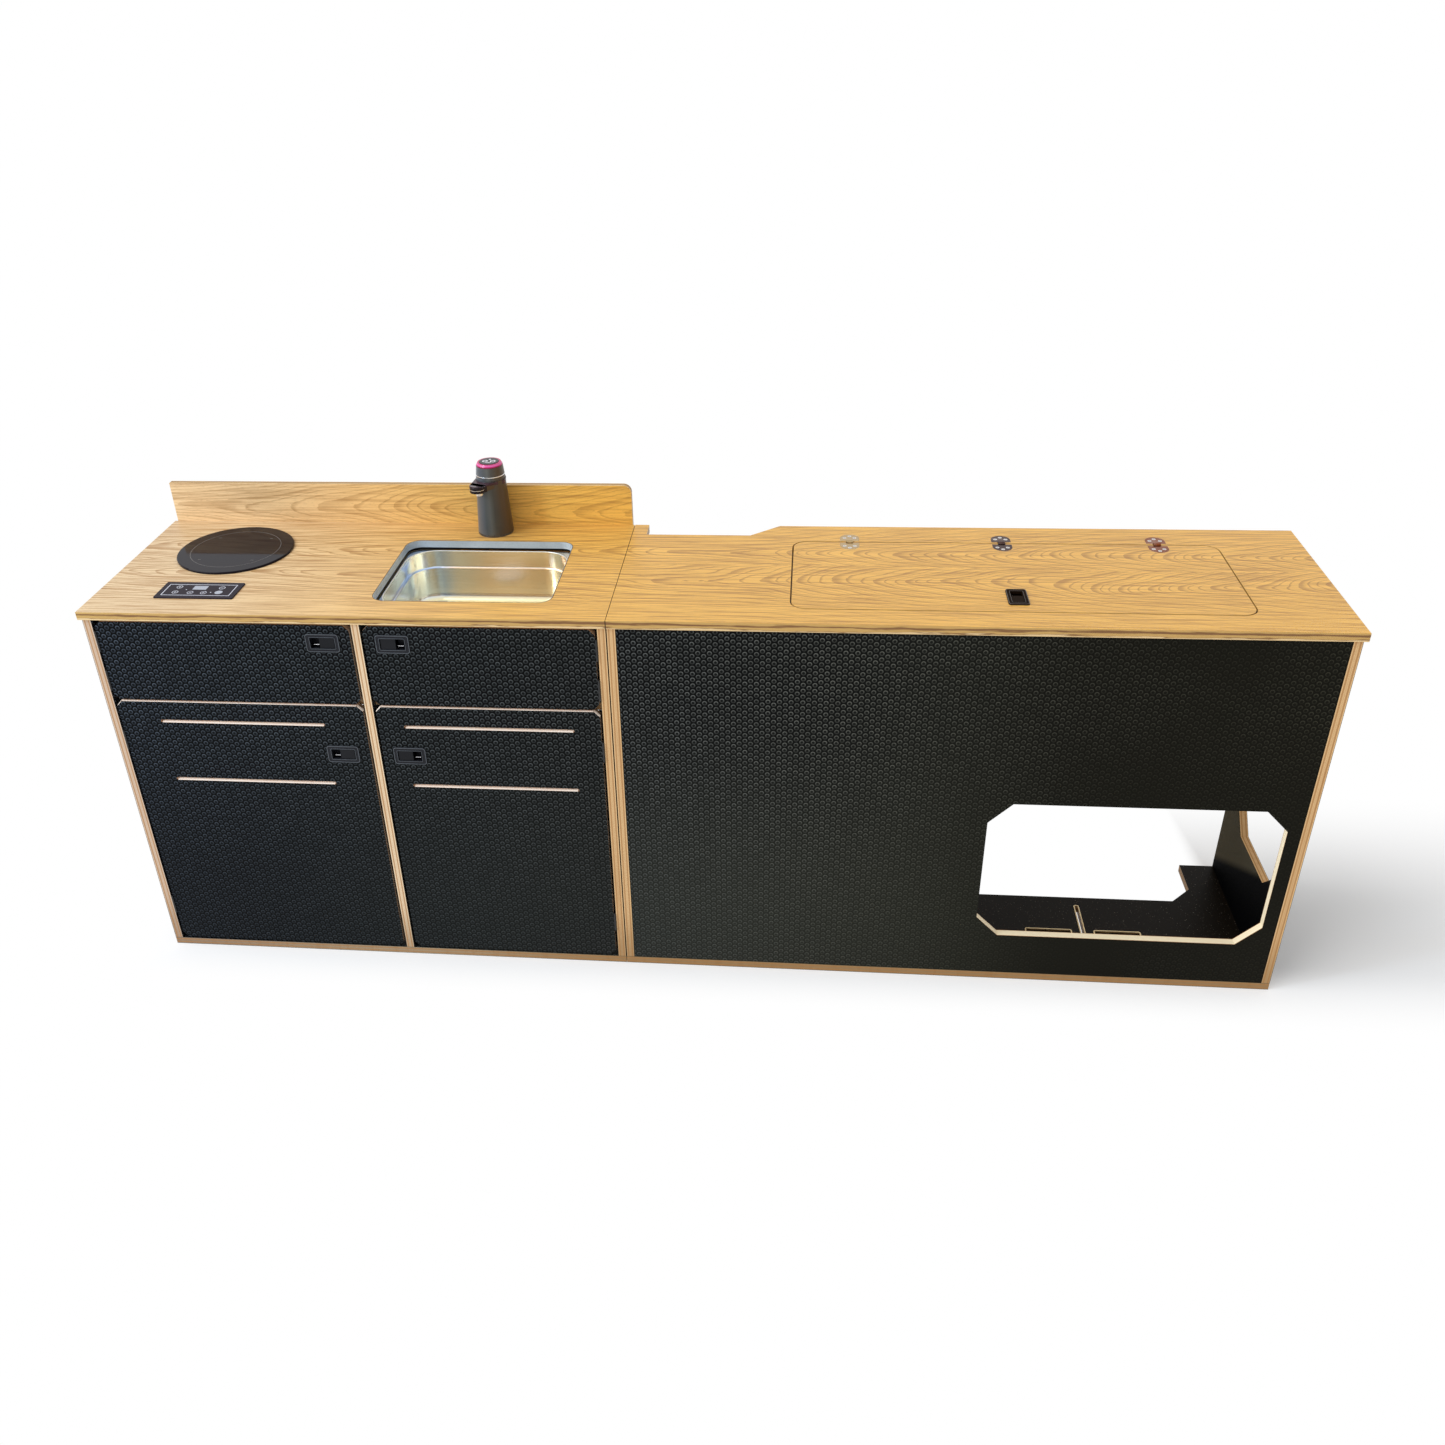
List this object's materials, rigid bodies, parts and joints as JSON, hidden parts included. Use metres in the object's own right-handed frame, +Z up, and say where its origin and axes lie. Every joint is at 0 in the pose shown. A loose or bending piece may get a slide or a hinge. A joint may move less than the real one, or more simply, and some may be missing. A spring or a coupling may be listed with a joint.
{
  "type": "van side furniture unit",
  "caption": "Two plywood pods side by side: a small kitchen with round hob, sink, tap and side-hinged doors, and a locker with a hinged lid in its worktop and a chamfered front opening.",
  "frame": {"origin": "centre of the footprint of the whole unit's box, on the floor", "axes": "X along the unit to the right, Y to the back where the vehicle's wall is, Z up"},
  "size_m": [2.092, 0.416, 0.8668],
  "materials": {
    "oak_ply": "oak-faced plywood, clear satin lacquer",
    "black_ply": "birch plywood faced with black dimpled phenolic film, pale raw edges",
    "plain_ply": "plain birch plywood",
    "black_plastic": "fine satin moulded nylon",
    "latch_paddle": "satin moulded nylon",
    "zinc_steel": "bright zinc-plated steel",
    "black_steel": "black enamelled steel",
    "cast_stainless": "polished cast stainless steel",
    "stainless_screw": "stainless steel",
    "pan_steel": "bright rolled stainless steel",
    "seal_rubber": "black foam seal",
    "hob_glass": "opaque black ceramic glass, gloss",
    "control_panel": "gloss black touch panel",
    "tap_grey": "satin graphite coating",
    "tap_light_ring": "translucent magenta light ring",
    "tap_button": "gloss black",
    "tap_chrome": "polished chrome"
  },
  "bodies": {
    "cabinet": {"kitchen_base": "black_ply", "kitchen_left_side": "black_ply", "kitchen_right_side": "black_ply", "kitchen_divider": "black_ply", "kitchen_shelves": "black_ply", "kitchen_rear_rail": "black_ply", "kitchen_worktop": "oak_ply", "splashback": "oak_ply", "locker_base": "black_ply", "locker_left_side": "black_ply", "locker_right_side": "black_ply", "locker_front_panel": "black_ply", "locker_rear_rail": "black_ply", "locker_worktop": "oak_ply", "lid_battens": "plain_ply", "pod_bolts": "zinc_steel", "door_hinge_frame_leaves": "black_steel", "door_hinge_pins": "black_steel", "door_keepers": "plain_ply", "lid_hinge_fixed_leaves": "cast_stainless", "lid_hinge_pins": "cast_stainless", "lid_hinge_fixed_screws": "stainless_screw", "sink_seal": "seal_rubber", "sink_pan": "pan_steel", "sink_waste": "black_plastic", "hob_glass": "hob_glass", "hob_housing": "black_plastic", "control_panel": "control_panel", "tap_base": "tap_grey"},
    "upper_left_door": {"upper_left_door": "black_ply", "upper_left_hinge_leaves": "black_steel", "upper_left_latch_housing": "black_plastic"},
    "upper_right_door": {"upper_right_door": "black_ply", "upper_right_hinge_leaves": "black_steel", "upper_right_latch_housing": "black_plastic"},
    "lower_left_door": {"lower_left_door": "black_ply", "lower_left_hinge_leaves": "black_steel", "lower_left_latch_housing": "black_plastic"},
    "lower_right_door": {"lower_right_door": "black_ply", "lower_right_hinge_leaves": "black_steel", "lower_right_latch_housing": "black_plastic"},
    "lid": {"lid": "oak_ply", "lid_hinge_moving_leaves": "cast_stainless", "lid_hinge_moving_screws": "stainless_screw", "lid_latch_housing": "black_plastic"},
    "upper_left_latch_paddle": {"upper_left_latch_paddle": "latch_paddle"},
    "upper_left_latch_bolt": {"upper_left_latch_bolt": "zinc_steel"},
    "upper_right_latch_paddle": {"upper_right_latch_paddle": "latch_paddle"},
    "upper_right_latch_bolt": {"upper_right_latch_bolt": "zinc_steel"},
    "lower_left_latch_paddle": {"lower_left_latch_paddle": "latch_paddle"},
    "lower_left_latch_bolt": {"lower_left_latch_bolt": "zinc_steel"},
    "lower_right_latch_paddle": {"lower_right_latch_paddle": "latch_paddle"},
    "lower_right_latch_bolt": {"lower_right_latch_bolt": "zinc_steel"},
    "lid_latch_paddle": {"lid_latch_paddle": "latch_paddle"},
    "lid_latch_bolt": {"lid_latch_bolt": "zinc_steel"},
    "tap_body": {"tap_body": "tap_grey", "tap_head": "tap_grey", "tap_ring": "tap_light_ring", "tap_aerator": "tap_chrome"},
    "tap_button": {"tap_button": "tap_button"}
  },
  "joints": [
    {"name": "upper_left_door_hinge", "type": "hinge", "parent": "cabinet", "child": "upper_left_door", "pos_m": [-1.023, -0.2046, 0.635], "axis": [0, 0, -1], "range_deg": [0, 110]},
    {"name": "upper_right_door_hinge", "type": "hinge", "parent": "cabinet", "child": "upper_right_door", "pos_m": [-0.1575, -0.2046, 0.635], "axis": [0, 0, 1], "range_deg": [0, 110]},
    {"name": "lower_left_door_hinge", "type": "hinge", "parent": "cabinet", "child": "lower_left_door", "pos_m": [-1.023, -0.2046, 0.287], "axis": [0, 0, -1], "range_deg": [0, 110]},
    {"name": "lower_right_door_hinge", "type": "hinge", "parent": "cabinet", "child": "lower_right_door", "pos_m": [-0.1575, -0.2046, 0.287], "axis": [0, 0, 1], "range_deg": [0, 110]},
    {"name": "lid_hinge", "type": "hinge", "parent": "cabinet", "child": "lid", "pos_m": [0.5286, 0.12495, 0.73], "axis": [-1, 0, 0], "range_deg": [0, 100]},
    {"name": "upper_left_latch_paddle_pivot", "type": "hinge", "parent": "upper_left_door", "child": "upper_left_latch_paddle", "pos_m": [-0.605, -0.203, 0.678], "axis": [0, 0, 1], "range_deg": [0, 20]},
    {"name": "upper_left_latch_bolt_slide", "type": "slide", "parent": "upper_left_door", "child": "upper_left_latch_bolt", "axis": [-1, 0, 0], "range_m": [0, 0.0107], "stiffness_N_per_m": 300, "springref_m": -0.004},
    {"name": "upper_right_latch_paddle_pivot", "type": "hinge", "parent": "upper_right_door", "child": "upper_right_latch_paddle", "pos_m": [-0.521, -0.203, 0.678], "axis": [0, 0, -1], "range_deg": [0, 20]},
    {"name": "upper_right_latch_bolt_slide", "type": "slide", "parent": "upper_right_door", "child": "upper_right_latch_bolt", "axis": [1, 0, 0], "range_m": [0, 0.0107], "stiffness_N_per_m": 300, "springref_m": -0.004},
    {"name": "lower_left_latch_paddle_pivot", "type": "hinge", "parent": "lower_left_door", "child": "lower_left_latch_paddle", "pos_m": [-0.605, -0.203, 0.457], "axis": [0, 0, 1], "range_deg": [0, 20]},
    {"name": "lower_left_latch_bolt_slide", "type": "slide", "parent": "lower_left_door", "child": "lower_left_latch_bolt", "axis": [-1, 0, 0], "range_m": [0, 0.0107], "stiffness_N_per_m": 300, "springref_m": -0.004},
    {"name": "lower_right_latch_paddle_pivot", "type": "hinge", "parent": "lower_right_door", "child": "lower_right_latch_paddle", "pos_m": [-0.521, -0.203, 0.457], "axis": [0, 0, -1], "range_deg": [0, 20]},
    {"name": "lower_right_latch_bolt_slide", "type": "slide", "parent": "lower_right_door", "child": "lower_right_latch_bolt", "axis": [1, 0, 0], "range_m": [0, 0.0107], "stiffness_N_per_m": 300, "springref_m": -0.004},
    {"name": "lid_latch_paddle_pivot", "type": "hinge", "parent": "lid", "child": "lid_latch_paddle", "pos_m": [0.5286, -0.1175, 0.729], "axis": [1, 0, 0], "range_deg": [0, 20]},
    {"name": "lid_latch_bolt_slide", "type": "slide", "parent": "lid", "child": "lid_latch_bolt", "axis": [0, 1, 0], "range_m": [0, 0.0107], "stiffness_N_per_m": 300, "springref_m": -0.004},
    {"name": "tap_swivel", "type": "hinge", "parent": "cabinet", "child": "tap_body", "pos_m": [-0.3985, 0.16, 0.734], "axis": [0, 0, 1], "range_deg": [-68, 112]},
    {"name": "tap_button_press", "type": "slide", "parent": "tap_body", "child": "tap_button", "axis": [0, 0, -1], "range_m": [0, 0.0012], "stiffness_N_per_m": 800, "springref_m": -0.0006}
  ],
  "couplings": [
    {"joint": "upper_left_latch_paddle_pivot", "follows": "upper_left_latch_bolt_slide", "rad_per_m": 32.6},
    {"joint": "upper_right_latch_paddle_pivot", "follows": "upper_right_latch_bolt_slide", "rad_per_m": 32.6},
    {"joint": "lower_left_latch_paddle_pivot", "follows": "lower_left_latch_bolt_slide", "rad_per_m": 32.6},
    {"joint": "lower_right_latch_paddle_pivot", "follows": "lower_right_latch_bolt_slide", "rad_per_m": 32.6},
    {"joint": "lid_latch_paddle_pivot", "follows": "lid_latch_bolt_slide", "rad_per_m": 32.6}
  ]
}
